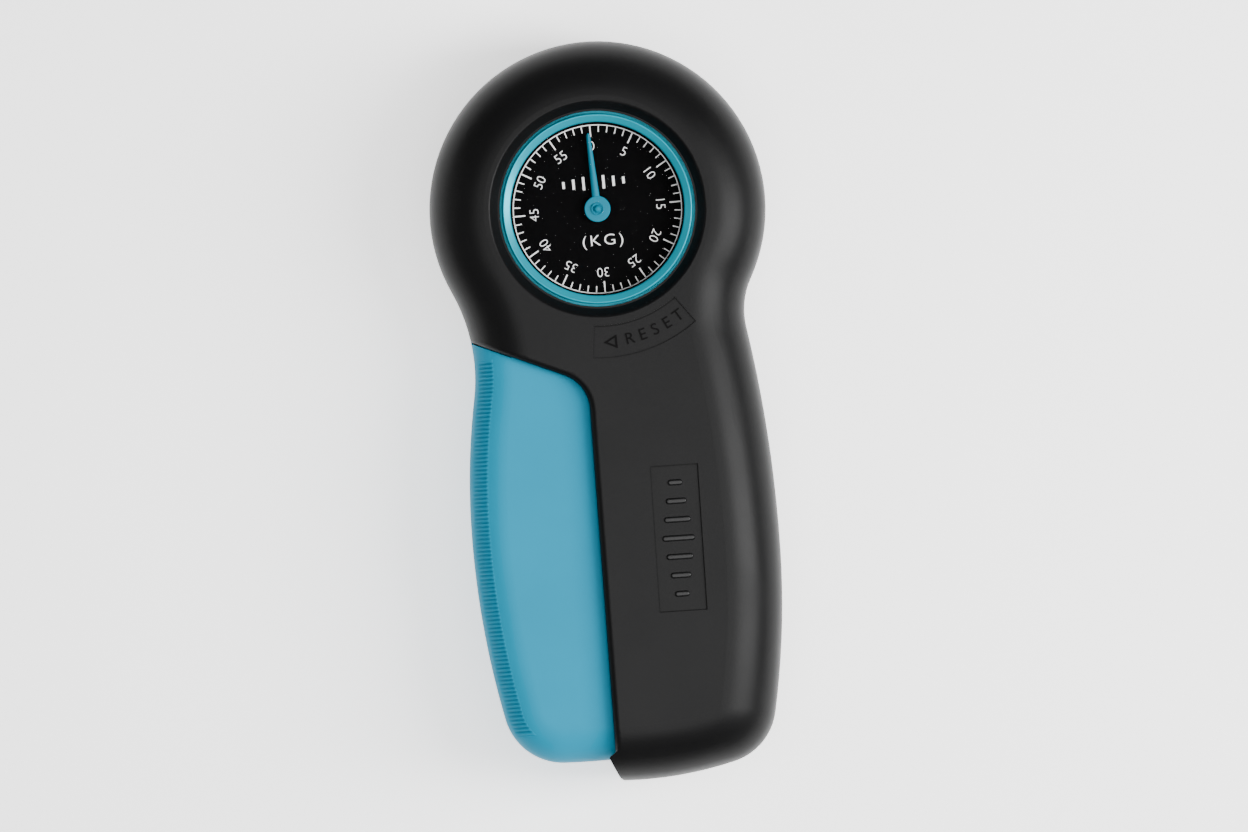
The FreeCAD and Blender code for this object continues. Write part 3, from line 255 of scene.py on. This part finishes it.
def metal_finish(name, colour, roughness, stretch=(1, 1, 1), grain=0.25, depth=0.004):
    """Machined or plated metal: fine lines stretched along the working direction, and a slight bloom."""
    made, tree, shader, where = finish_base(name, colour, roughness, metallic=1.0)
    bloom_size, bloom_shade = 5.0, 0.86
    lines = noise_in(tree, where, grain, 3.0, stretch)
    bloom = noise_in(tree, where, bloom_size, 3.0)
    dark = [c * bloom_shade for c in colour]
    tree.links.new(ramp_between(tree, bloom, dark, colour), shader.inputs["Base Color"])
    tree.links.new(rough_between(tree, lines, roughness - 0.07, roughness + 0.09), shader.inputs["Roughness"])
    tree.links.new(bump_from(tree, lines, depth), shader.inputs["Normal"])
    return made


def clear_lens_finish():
    """Clear acrylic: almost nothing but a weak reflection, with the faintest wiping marks in it."""
    cover, gloss, roughest, wipe_size = 0.03, 0.02, 0.03, 1.5
    made, tree, shader, where = finish_base("clear_lens", (0.0, 0.0, 0.0), roughest, specular=gloss)
    shader.inputs["Alpha"].default_value = cover
    wipes = noise_in(tree, where, wipe_size, 4.0, (1, 6, 1))
    tree.links.new(rough_between(tree, wipes, 0.0, roughest), shader.inputs["Roughness"])
    return made


BODY_BLACK = (0.0045, 0.0045, 0.0047)
PANEL_BLACK = (0.0042, 0.0042, 0.0043)
# Painted shade: a darker black for the shade inside engraved letters.
ENGRAVING_SHADE_BLACK = (0.0022, 0.0022, 0.0022)
# Painted shade: a dark line for the shadow at the walls of the two sunk panels.
EDGE_SHADE_BLACK = (0.004, 0.004, 0.004)
ENAMEL_BLACK = (0.0016, 0.0016, 0.0018)
PRINT_WHITE = (0.97, 0.97, 0.97)
HANDLE_BLUE = (0.0, 0.23, 0.37)
BEZEL_BLUE = (0.0, 0.27, 0.36)
POINTER_BLUE = (0.0, 0.18, 0.27)

black_shell = moulded_finish("black_shell", BODY_BLACK, 0.40, 0.35, 0.010, 0.10, 0.10)
black_relief = moulded_finish("black_relief", BODY_BLACK, 0.36, 0.35, 0.006, 0.10, 0.22)
panel_black = moulded_finish("panel_black", PANEL_BLACK, 0.46, 0.35, 0.010, 0.10, 0.12)
# Painted shade for the inside of engraved letters.
painted_engraving_shade = moulded_finish("painted_engraving_shade", ENGRAVING_SHADE_BLACK, 0.6, 0.35, 0.006, 0.10, 0.05)
# Painted shade for the shadow at the sunk panels' walls.
painted_edge_shade = moulded_finish("painted_edge_shade", EDGE_SHADE_BLACK, 0.55, 0.35, 0.006, 0.10, 0.07)
blue_cover = moulded_finish("blue_cover", HANDLE_BLUE, 0.45, 0.30, 0.006, 0.03, 0.05)
bezel_satin = moulded_finish("bezel_satin", BEZEL_BLUE, 0.33, 0.22, 0.004, 0.05, 0.2, metallic=0.3)
dial_enamel = moulded_finish("dial_enamel", ENAMEL_BLACK, 0.6, 0.8, 0.001, 0.15, 0.02)
dial_white = moulded_finish("dial_white", PRINT_WHITE, 0.6, 0.8, 0.001, 0.02, 0.1)
pointer_paint = moulded_finish("pointer_paint", POINTER_BLUE, 0.42, 0.15, 0.004, 0.06, 0.1)
carrier_plastic = moulded_finish("carrier_plastic", (0.10, 0.10, 0.105), 0.5, 0.3, 0.01)
ring_gloss = moulded_finish("ring_gloss", (0.008, 0.008, 0.008), 0.28, 0.3, 0.003)
black_rubber = moulded_finish("black_rubber", (0.018, 0.018, 0.018), 0.75, 0.2, 0.02)
zinc_steel = metal_finish("zinc_steel", (0.56, 0.57, 0.59), 0.30, (1, 8, 1))
spring_wire = metal_finish("spring_wire", (0.36, 0.37, 0.39), 0.33, (1, 1, 10), 0.2)
brushed_brass = metal_finish("brushed_brass", (0.72, 0.52, 0.22), 0.28, (12, 1, 1))
clear_lens = clear_lens_finish()


def rib_finish():
    """The handle's blue, with painted shade making it a darker teal in the grooves, whose depth each vertex
    carries.
    """
    painted_groove_shade, cloud_size = 0.70, 9.0
    made, tree, shader, where = finish_base("blue_ribs", HANDLE_BLUE, 0.48, 0.0, 0.05)
    groove = tree.nodes.new("ShaderNodeAttribute")
    groove.attribute_name = "groove"
    # Painted shade: the blue is darkened with the groove's depth, standing for the shade inside the grooves.
    groove_shaded_blue = tuple(c * painted_groove_shade for c in HANDLE_BLUE)
    groove_shading = ramp_between(tree, groove.outputs["Fac"], HANDLE_BLUE, groove_shaded_blue, 0.1, 0.9)
    cloud = noise_in(tree, where, cloud_size, 3.0)
    tree.links.new(groove_shading, shader.inputs["Base Color"])
    tree.links.new(rough_between(tree, cloud, 0.45, 0.52), shader.inputs["Roughness"])
    return made


blue_ribs = rib_finish()


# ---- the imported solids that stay, with their finishes ----

KEPT = {
    "front_shell": black_shell, "rear_shell": black_shell,
    "grip_front_cover": blue_cover, "grip_rear_cover": blue_cover,
    "dial_carrier": carrier_plastic, "dial_plate": dial_enamel, "lens": clear_lens,
    "lens_retaining_ring": ring_gloss, "stop_pad": black_rubber,
    "upper_load_spring": spring_wire, "lower_load_spring": spring_wire, "hairspring": spring_wire,
}
BRASS_NODES = ("movement_front_plate", "movement_rear_plate", "movement_pillars", "sector_gear",
               "centre_pinion", "hairspring_collet", "pivot_bush", "hold_washer")
for node_name, node in nodes.items():
    metal = brushed_brass if node_name in BRASS_NODES else zinc_steel
    node.data.materials.clear()
    node.data.materials.append(KEPT.get(node_name, metal))


def heights_of(node_name):
    """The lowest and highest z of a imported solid, in mm."""
    return [round(corner.z / MM, 3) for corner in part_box(node_name)]


# ---- dial ----

DIAL_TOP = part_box("dial_plate")[1].z / MM
PRINT_THICK = 0.03
PRINT_TOP = DIAL_TOP + PRINT_THICK
SCALE_R = 16.8
SCALE_MARKS = 60
FIGURE_EVERY = 5
FIGURE_R = 12.55
DIAL_TURN = math.radians(1.6)


def on_dial(x, y):
    """A place on the printed dial, which is glued on with a slight turn."""
    c, s = math.cos(DIAL_TURN), math.sin(DIAL_TURN)
    return x * c - y * s, x * s + y * c


def make_scale_ring():
    """Thin printed circle: a flat rectangle turned round the axis at the scale's radius."""
    r, half_width = SCALE_R, 0.10
    points, faces = ring_of_profile([r - half_width, r + half_width, r + half_width, r - half_width],
                                    [DIAL_TOP, DIAL_TOP, PRINT_TOP, PRINT_TOP])
    piece("scale_ring", points, faces, "housing", dial_white, smooth=False)


def make_scale_ticks():
    """Sixty radial bars, every fifth longer, all ending at the scale's circle."""
    k = np.arange(SCALE_MARKS)
    angle = DIAL_TURN + np.pi / 2 - k * TURN / SCALE_MARKS
    long_one = k % FIGURE_EVERY == 0
    length = np.where(long_one, 2.35, 1.4)
    width = np.where(long_one, 0.27, 0.21)
    middle = SCALE_R - length / 2
    centres = np.stack([middle * np.cos(angle), middle * np.sin(angle)], -1)
    points, faces = blocks(centres, angle, length, width, DIAL_TOP, PRINT_TOP)
    piece("scale_ticks", points, faces, "housing", dial_white, smooth=False)


def make_scale_figures():
    """Numbers every five marks, with their tops outwards, and the unit below the centre."""
    figure_size, unit_size = 2.7, 3.1
    values = np.arange(0, SCALE_MARKS, FIGURE_EVERY)
    angle = DIAL_TURN + np.pi / 2 - values * TURN / SCALE_MARKS
    places = [(FIGURE_R * math.cos(a), FIGURE_R * math.sin(a), a - math.pi / 2) for a in angle]
    points, faces = letters([str(v) for v in values], figure_size, places, DIAL_TOP, PRINT_TOP)
    piece("scale_figures", points, faces, "housing", dial_white, smooth=False)
    place = [(*on_dial(0.5, -6.35), DIAL_TURN)]
    points, faces = letters(["(KG)"], unit_size, place, DIAL_TOP, PRINT_TOP, 0.03, widen=1.15, spacing=1.25)
    piece("scale_unit", points, faces, "housing", dial_white, smooth=False)


def make_dial_bars():
    """Plain decoration above the centre: seven upright bars whose height falls away to both sides."""
    pitch, tallest, fall, width = 2.0, 3.3, 0.65, 0.5
    middle_x, middle_y = -0.3, 5.3
    k = np.arange(-3, 4)
    height = tallest - fall * np.abs(k)
    centres = np.stack(on_dial(pitch * k + middle_x, middle_y + 0.0 * k), -1)
    upright = np.full(len(k), np.pi / 2 + DIAL_TURN)
    points, faces = blocks(centres, upright, height, np.full(len(k), width), DIAL_TOP, PRINT_TOP)
    piece("dial_bars", points, faces, "housing", dial_white, smooth=False)


POINTER_TURN = math.radians(3.5)
POINTER_BORE_R, HUB_R = 1.12, 2.6
POINTER_LOW, HUB_TOP = heights_of("pointer")


def make_pointer():
    """Tapered pointer with a low ridge, on a round hub with a hole for the arbor.

    The half width falls evenly along the length, and is rounded off in the last stretch with the root of
    1 - w squared.  The ridge stands above the edges by 1 - v squared.  The rows run from the hub to the tip,
    and each is a closed loop over the ridge and back along the flat base.
    """
    low, edge, crown = POINTER_LOW, POINTER_LOW + 0.22, HUB_TOP - 0.02
    root_half, taper, start, length, round_from = 0.78, 0.38, 1.5, 13.7, 0.985
    u = np.linspace(0, 1, 40)[:, None]
    w = np.clip((u - round_from) / (1 - round_from), 0, 1)
    half = (root_half - taper * u) * np.sqrt(np.clip(1 - w ** 2, 0.02, 1))
    v = np.linspace(-1, 1, 13)[None, :]
    along = start + u * length
    top_z = edge + (crown - edge) * (1 - v ** 2) + 0 * u
    over = np.stack([half * -v, along + 0 * v, top_z], -1)
    under = np.stack([half * v, along + 0 * v, low + 0 * (u + v)], -1)
    loop = np.concatenate([over, under], 1)
    rows, columns = loop.shape[:2]
    faces = grid_faces(rows, columns, wrap_columns=True).tolist()
    faces += [list(range(columns)), list(range((rows - 1) * columns, rows * columns))[::-1]]
    c, s = math.cos(POINTER_TURN), math.sin(POINTER_TURN)
    blade = np.stack([loop[..., 0] * c - loop[..., 1] * s, loop[..., 0] * s + loop[..., 1] * c,
                      loop[..., 2]], -1)
    hub_corners = [(POINTER_BORE_R, low), (HUB_R, low), (HUB_R, HUB_TOP), (POINTER_BORE_R, HUB_TOP)]
    profile = rounded_profile(hub_corners, (0.02, 0.1, 0.18, 0.02))
    points, faces = joined([(blade, faces), ring_of_profile(profile[:, 0], profile[:, 1], 96)])
    piece("pointer_blade", points, faces, "pointer", pointer_paint, ("pointer",))


def make_pointer_cap():
    """Button on the hub: a rim, a groove inside it, and a dome whose height falls with r to the fourth."""
    dome_r, dome_top, dome_fall = 0.80, 28.97, 0.85
    dome = np.linspace(0.74, 0.04, 12)
    rim_r, rim_z = [1.25, 1.25, 1.18, 1.08, 1.02, dome_r], [HUB_TOP, 28.42, 28.50, 28.48, 28.14, 28.12]
    r = np.concatenate([rim_r, dome])
    z = np.concatenate([rim_z, dome_top - dome_fall * (dome / dome_r) ** 4])
    count = 64
    points = turned_points(r, z, count)
    faces = grid_faces(count, len(r), wrap_rows=True).tolist()
    faces.append([k * len(r) for k in range(count)][::-1])
    faces.append([k * len(r) + len(r) - 1 for k in range(count)])
    piece("pointer_button", points, faces, "pointer", pointer_paint, ("pointer_cap",))


def make_bezel():
    """Bezel ring: one closed profile with a hidden flange, a straight neck and a rim that slopes inwards."""
    seat_r, flange_r, neck_r, lip_r = 18.2, 21.4, 19.0, 17.3
    foot_z = heights_of("bezel_ring")[0]
    flange_z, lens_top = foot_z + 1.0, foot_z + 2.17
    flange = [(seat_r, foot_z), (flange_r, foot_z), (flange_r, flange_z), (neck_r, flange_z)]
    rim = [(neck_r, 31.95), (18.72, 32.28), (17.42, 31.62), (lip_r, 31.4)]
    lip = [(lip_r, lens_top), (seat_r, lens_top)]
    rounding = (0.05, 0.1, 0.1, 0.1, 0.18, 0.2, 0.12, 0.1, 0.05, 0.05)
    profile = rounded_profile(flange + rim + lip, rounding)
    points, faces = ring_of_profile(profile[:, 0], profile[:, 1], 240)
    piece("bezel_rim", points, faces, "bezel", bezel_satin, ("bezel_ring",))


# ---- ribbed strip ----

def finger_edge(y, inset):
    """Where the handle's finger side lies at a height y, moved inwards by an inset.

    It is four arcs that meet in tangents: x = centre x plus or minus the root of radius squared less the
    square of y from the centre.  Where two arcs meet moves a little with the inset.
    """
    middle_y, waist_y, corner_y = -62.0, -30.192, -97.930
    waist = -61.599 + np.sqrt(np.maximum((35.0 + inset) ** 2 - (y - waist_y) ** 2, 1))
    upper = 117.6 - np.sqrt((147.0 - inset) ** 2 - (y - middle_y) ** 2)
    lower = 145.6 - np.sqrt((175.0 - inset) ** 2 - (y - middle_y) ** 2)
    corner = -13.3906 - np.sqrt(np.maximum((12.0 - inset) ** 2 - (y - corner_y) ** 2, 0.1))
    waist_ends, lower_ends = -36.309 - 0.175 * inset, -100.575 + 0.2204 * inset
    return np.select([y > waist_ends, y > middle_y, y > lower_ends], [waist, upper, lower], corner)


def make_rib_strip():
    """Ribbed strip: a rounded section carried down the finger side, with ribs across it.

    The section goes over the front shoulder, down the side and round the rear shoulder at full depth, then
    back about 1 mm further in.  Along the handle the depth swings as a power of a cosine of the distance,
    which makes the ribs.  The swing fades to nothing before the edges and the ends, and stays off the side.
    """
    pitch, groove, thick, skin_gap = 0.81, 0.34, 0.98, 0.01
    top, end, rows_per_rib, fade_length = -28.6, -104.0, 8, 0.5
    count = int((top - end) / pitch)
    y = np.linspace(top, end, count * rows_per_rib + 1)[:, None]
    shoulder, edge_inset = 7.5, 3.78
    low, high = 3.2, 30.8
    edge = math.acos(1 - edge_inset / shoulder)
    bend = np.linspace(edge, 0, 22)
    inset = np.concatenate([shoulder * (1 - np.cos(bend)), shoulder * (1 - np.cos(bend[::-1]))])
    z = np.concatenate([high - shoulder + shoulder * np.sin(bend),
                        low + shoulder - shoulder * np.sin(bend[::-1])])
    out_h = np.concatenate([np.cos(bend), np.cos(bend[::-1])])
    out_z = np.concatenate([np.sin(bend), -np.sin(bend[::-1])])
    fade = np.clip((inset - 0.7) / 0.5, 0, 1) * np.clip((edge_inset - 0.15 - inset) / 0.3, 0, 1)
    rib = 0.5 - 0.5 * np.cos(TURN * (y - top) / pitch)
    ends = np.clip(np.minimum(top - y, y - end) / fade_length, 0, 1)
    swing = (1 - rib ** 0.7) * fade[None, :] * ends
    depth = groove * swing + skin_gap
    skin_in = inset[None, :] + depth * out_h[None, :]
    skin_z = z[None, :] - depth * out_z[None, :]
    back_in = (inset + thick * out_h)[None, ::-1] + 0 * depth
    back_z = (z - thick * out_z)[None, ::-1] + 0 * depth
    all_in = np.concatenate([skin_in, back_in], 1)
    all_z = np.concatenate([skin_z, back_z], 1)
    points = np.stack([finger_edge(y, all_in), y + 0 * all_in, all_z], -1)
    rows, columns = points.shape[:2]
    faces = grid_faces(rows, columns, wrap_columns=True).tolist()
    faces += [list(range(columns)), list(range((rows - 1) * columns, rows * columns))[::-1]]
    made = piece("ribbed_strip", points, faces, "handle", blue_ribs, ("finger_rib_strip",))
    # Each vertex keeps how deep its groove is, and the finish paints shade into the grooves from it.
    level = made.data.attributes.new("groove", "FLOAT", "POINT")
    level.data.foreach_set("value", np.concatenate([swing, 0 * swing], 1).ravel())


# ---- marks in the black front's two panels ----

FRONT_Z = heights_of("front_shell")[1]
PANEL_FLOOR = FRONT_Z - 0.5
PANEL_INK = PANEL_FLOOR + 0.03
LABEL_MIDDLE = np.array([11.8, -66.5])
RESET_START, RESET_END = -95.5, -52.6


def make_label_plate():
    """Thin plate on the long panel's floor, with a dark line left all round it: painted shade standing for
    the shadow in the gap at the panel's walls.
    """
    middle, width, length, line = LABEL_MIDDLE, 9.6, 29.2, 0.22
    inner_width, inner_length, upright = width - 2 * line, length - 2 * line, np.pi / 2
    across, along = np.array([width / 2 - line / 2, 0]), np.array([0, length / 2 - line / 2])
    centres = [middle - across, middle + across, middle - along, middle + along]
    points, faces = blocks(centres, [upright, upright, 0, 0], [length, length, inner_width, inner_width],
                           [0.4 * line, line, line, line], PANEL_FLOOR, PANEL_INK)
    piece("label_edge_shade", points, faces, "housing", painted_edge_shade, smooth=False)
    points, faces = blocks([middle], [upright], [inner_length], [inner_width], PANEL_FLOOR, PANEL_INK)
    piece("label_plate", points, faces, "housing", panel_black, smooth=False)


def make_reset_outline():
    """Painted shade round the curved panel, standing for the shadow at its walls: two dark arcs and two
    radial bars on its floor.
    """
    radius, bar_length, bar_width, bar_inset = 26.69, 5.8, 0.09, 0.25
    arcs = [arc_band(inner, outer, RESET_START, RESET_END, PANEL_FLOOR, PANEL_INK)
            for inner, outer in ((23.38, 23.62), (29.68, 29.78))]
    angle = np.radians([RESET_START + bar_inset, RESET_END - bar_inset])
    centres = radius * np.stack([np.cos(angle), np.sin(angle)], -1)
    bars = blocks(centres, angle, [bar_length] * 2, [bar_width] * 2, PANEL_FLOOR, PANEL_INK)
    points, faces = joined(arcs + [bars])
    piece("reset_edge_shade", points, faces, "housing", painted_edge_shade, smooth=False)


def make_label_bars():
    """Plain raised bars in the sunk panel: long domes whose height is the root of 1 - u to the fourth.

    Rings u go from the middle line out to the foot, and v goes round each ring.
    """
    half_width, rise, pitch, longest, fall = 0.62, 0.44, 3.7, 3.3, 0.6
    rings, around = 9, 28
    u, v = np.meshgrid(np.linspace(0, 1, rings), np.arange(around) / around * TURN, indexing="ij")
    k = np.arange(-3, 4)[:, None, None]
    straight = longest - fall * np.abs(k) - half_width
    x = straight * np.sign(np.cos(v)) * np.minimum(u * 3, 1) + half_width * u * np.cos(v)
    y = -pitch * k + half_width * u * np.sin(v)
    z = PANEL_FLOOR + rise * np.sqrt(np.clip(1 - u ** 4, 0, 1)) + 0 * k
    points = np.stack([LABEL_MIDDLE[0] + x, LABEL_MIDDLE[1] + y, z], -1)
    foot = [(rings - 1) * around + j for j in range(around)][::-1]
    one = grid_faces(rings, around, wrap_columns=True).tolist() + [foot]
    points, faces = joined([(bar, one) for bar in points])
    piece("label_bars", points, faces, "housing", black_relief)


def make_reset_legend():
    """Legend beside the dial, standing on its panel: a plain word for what the bezel does, and an arrowhead,
    both in a darker black as painted shade for engraved marks.

    The arrowhead is a triangle with a smaller one taken out of it.
    """
    word, size, radius = "RESET", 3.3, 26.7
    floor, high = FRONT_Z - 0.52, FRONT_Z - 0.30
    first, last, arrow = 10.2, 33.3, 2.1
    spread = np.radians(np.linspace(first, last, len(word)))
    places = [(radius * math.sin(a), -radius * math.cos(a), a) for a in spread]
    points, faces = letters(list(word), size, places, floor, high, 0.0)
    # The word and the arrowhead are painted a darker black, standing for the shade inside engraved marks.
    piece("reset_legend", points, faces, "housing", painted_engraving_shade, smooth=False)
    tip, base, half_height, hollow = 1.5, 1.2, 1.4, 0.55
    corners = np.array([[-tip, 0.0], [base, -half_height], [base, half_height]])
    inner = corners.mean(0) + hollow * (corners - corners.mean(0))
    c, s = math.cos(math.radians(arrow)), math.sin(math.radians(arrow))
    loops = np.stack([inner, corners, corners, inner], 1)
    x = radius * s + loops[..., 0] * c - loops[..., 1] * s
    y = -radius * c + loops[..., 0] * s + loops[..., 1] * c
    z = np.broadcast_to([floor, floor, high, high], x.shape)
    faces = grid_faces(3, 4, wrap_rows=True, wrap_columns=True)
    piece("reset_arrow", np.stack([x, y, z], -1), faces, "housing", painted_engraving_shade, smooth=False)


make_scale_ring()
make_scale_ticks()
make_scale_figures()
make_dial_bars()
make_pointer()
make_pointer_cap()
make_bezel()
make_rib_strip()
make_label_plate()
make_label_bars()
make_reset_outline()
make_reset_legend()


# ---- floor, light and camera ----

def make_floor():
    """Pale level floor of opal sheet, lit a little from below, just under the resting plane."""
    half, below, glow = 2500.0, 0.05, 1.4
    corners = ((-half, -half), (half, -half), (half, half), (-half, half))
    mesh = bpy.data.meshes.new("studio_floor")
    mesh.from_pydata([(x * MM, y * MM, -below * MM) for x, y in corners], [], [(0, 1, 2, 3)])
    made = bpy.data.objects.new("studio_floor", mesh)
    bpy.context.scene.collection.objects.link(made)
    paper = moulded_finish("floor_paper", (0.93, 0.93, 0.93), 0.8, 3.0, 0.02, 0.01, 0.1)
    shader = paper.node_tree.nodes["Principled BSDF"]
    shader.inputs["Emission Color"].default_value = (1, 1, 1, 1)
    shader.inputs["Emission Strength"].default_value = glow
    mesh.materials.append(paper)


def make_softbox(name, place, aim, size, power):
    """Rectangular soft light at a place, facing an aim point."""
    light = bpy.data.lights.new(name, "AREA")
    light.shape = "RECTANGLE"
    light.size, light.size_y = size
    light.energy = power
    made = bpy.data.objects.new(name, light)
    bpy.context.scene.collection.objects.link(made)
    made.location = place
    way = np.asarray(aim, float) - np.asarray(place, float)
    made.rotation_euler = Vector(way).to_track_quat("-Z", "Y").to_euler()


def make_camera():
    """Long lens straight above the face, turned so that the instrument leans a little."""
    width, middle_x, middle_y, focus_z, lean = 0.2496, 0.00255, -0.04156, 0.020, 3.8
    camera = bpy.data.cameras.new("camera")
    camera.lens, camera.sensor_width = 400.0, 36.0
    camera.clip_start, camera.clip_end = 0.05, 20.0
    distance = width / camera.sensor_width * camera.lens
    made = bpy.data.objects.new("camera", camera)
    bpy.context.scene.collection.objects.link(made)
    made.location = (middle_x, middle_y, focus_z + distance)
    made.rotation_euler = (0, 0, -math.radians(lean))
    bpy.context.scene.camera = made


def make_world():
    """Faint even light from all round."""
    world = bpy.data.worlds.new("studio")
    world.use_nodes = True
    background = world.node_tree.nodes["Background"]
    background.inputs["Color"].default_value = (1, 1, 1, 1)
    background.inputs["Strength"].default_value = 0.15
    bpy.context.scene.world = world


make_floor()
make_softbox("top_softbox", (0.03, -0.16, 0.75), (0.01, -0.10, 0.02), (0.45, 0.45), 4.1)
make_softbox("palm_softbox", (0.55, -0.08, 0.58), (0, -0.06, 0.02), (0.25, 0.60), 12.0)
make_softbox("finger_softbox", (-0.75, 0.10, 0.25), (0, -0.04, 0.02), (0.20, 0.60), 0.6)
make_camera()
make_world()
